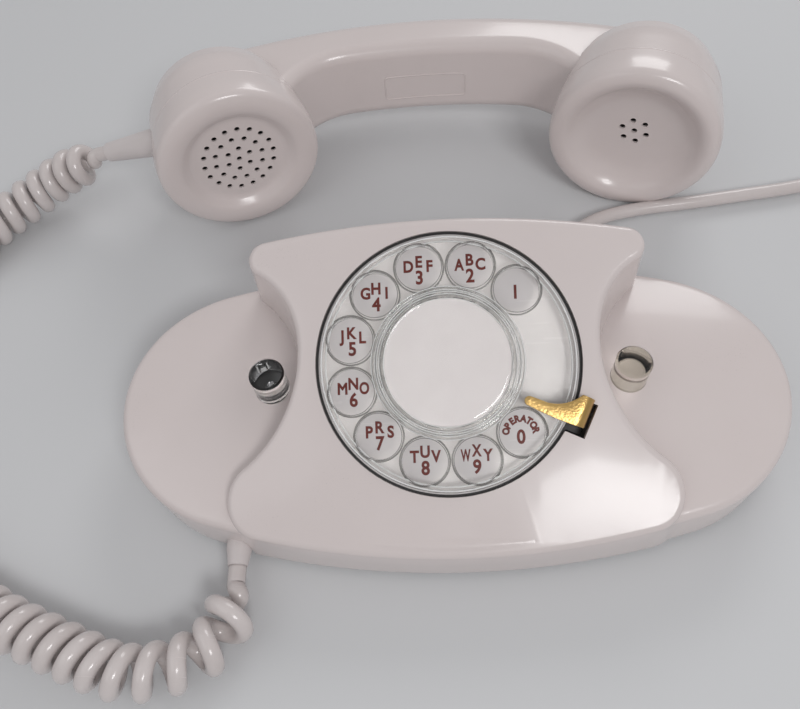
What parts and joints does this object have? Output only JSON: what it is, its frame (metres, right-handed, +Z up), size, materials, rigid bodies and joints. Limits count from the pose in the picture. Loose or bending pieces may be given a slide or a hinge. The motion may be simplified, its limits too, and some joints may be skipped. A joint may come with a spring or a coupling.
{
  "type": "rotary telephone",
  "caption": "Low oval rotary desk telephone with a tilted clear finger wheel, two hook plungers, and a separate bowed handset on a curly cord, with a coiled line cord.",
  "frame": {"origin": "centre of the oval rubber foot ring, on the table", "axes": "+Z up, +Y away from the user so that the dial leans towards -Y, +X to the user's right"},
  "size_m": [0.4565, 0.2467, 0.0617],
  "materials": {
    "shell": "gloss",
    "clear": "clear gloss",
    "plate_white": "satin",
    "card": "matte",
    "stop_brass": "polished",
    "steel": "zinc plated",
    "gear_brass": "satin",
    "cast": "matte",
    "black_plastic": "matte",
    "foot_rubber": "matte",
    "relief_rubber": "satin",
    "cord": "satin",
    "copper": "satin",
    "lamp_glass": "clear"
  },
  "bodies": {
    "base": {"housing": "shell", "base_plate": "steel", "foot_ring": "foot_rubber", "base_screws": "steel", "counterweight": "cast", "lever_brackets": "steel", "hook_switch": "black_plastic", "network_block": "black_plastic", "terminal_screws": "gear_brass", "ringer_frame": "steel", "ringer_coil": "copper", "ringer_gong": "gear_brass", "gong_screw": "steel", "lamp_socket": "black_plastic", "lamp": "lamp_glass", "number_plate": "plate_white", "dial_frame": "steel", "dial_screws": "steel", "dial_bridge": "steel", "finger_stop": "stop_brass", "pulse_contacts": "black_plastic", "governor_cup": "gear_brass", "return_spring": "steel", "front_relief": "relief_rubber", "rear_relief": "relief_rubber", "handset_cord": "cord", "line_cord": "cord", "line_cord_coil": "cord", "line_plug": "lamp_glass"},
    "finger_wheel": {"finger_wheel": "clear", "card": "card", "card_retainer": "clear", "dial_shaft": "steel", "main_gear": "gear_brass"},
    "pulse_spindle": {"pulse_pinion": "gear_brass", "pulse_cam": "black_plastic"},
    "governor": {"governor_rotor": "gear_brass"},
    "plunger_left": {"plunger_left": "clear"},
    "plunger_right": {"plunger_right": "clear"},
    "hook_lever": {"hook_lever": "steel"},
    "ringer_clapper": {"ringer_clapper": "gear_brass"},
    "handset": {"handset_handle": "shell", "receiver_cap": "shell", "transmitter_cap": "shell", "receiver_unit": "steel", "transmitter_unit": "steel", "handset_boot": "relief_rubber"}
  },
  "joints": [
    {"name": "finger_wheel_turn", "type": "hinge", "parent": "base", "child": "finger_wheel", "pos_m": [0, -0.0004, 0.0444], "axis": [0, 0.4163, -0.9092], "range_deg": [0, 330], "stiffness_Nm_per_rad": 0.006, "springref_deg": -57.3, "deforming": ["return_spring"]},
    {"name": "pulse_spindle_turn", "type": "hinge", "parent": "base", "child": "pulse_spindle", "pos_m": [0.02232, 0.01115, 0.03869], "axis": [0, 0.4163, -0.9092], "range_deg": [-1320, 0]},
    {"name": "governor_turn", "type": "hinge", "parent": "base", "child": "governor", "pos_m": [-0.0192, 0.01384, 0.03992], "axis": [0, 0.4163, -0.9092], "range_deg": [-1980, 0]},
    {"name": "plunger_left_press", "type": "slide", "parent": "base", "child": "plunger_left", "axis": [0, 0, -1], "range_m": [0, 0.008], "stiffness_N_per_m": 40, "springref_m": -0.01},
    {"name": "plunger_right_press", "type": "slide", "parent": "base", "child": "plunger_right", "axis": [0, 0, -1], "range_m": [0, 0.008], "stiffness_N_per_m": 40, "springref_m": -0.01},
    {"name": "hook_lever_swing", "type": "hinge", "parent": "base", "child": "hook_lever", "pos_m": [0, 0.0317, 0.01593], "axis": [1, 0, 0], "range_deg": [0, 15.28]},
    {"name": "clapper_swing", "type": "hinge", "parent": "base", "child": "ringer_clapper", "pos_m": [0.065, -0.022, 0.011], "axis": [0, 0, 1], "range_deg": [-4, 4], "stiffness_Nm_per_rad": 0.002},
    {"name": "handset_lift", "type": "slide", "parent": "base", "child": "handset", "axis": [0, 0, 1], "range_m": [0, 0.15], "deforming": ["handset_cord"]}
  ],
  "couplings": [
    {"joint": "pulse_spindle_turn", "follows": "finger_wheel_turn", "ratio": -4},
    {"joint": "governor_turn", "follows": "finger_wheel_turn", "ratio": -6},
    {"joint": "plunger_right_press", "follows": "plunger_left_press", "ratio": 1},
    {"joint": "hook_lever_swing", "follows": "plunger_left_press", "rad_per_m": 33.333}
  ]
}
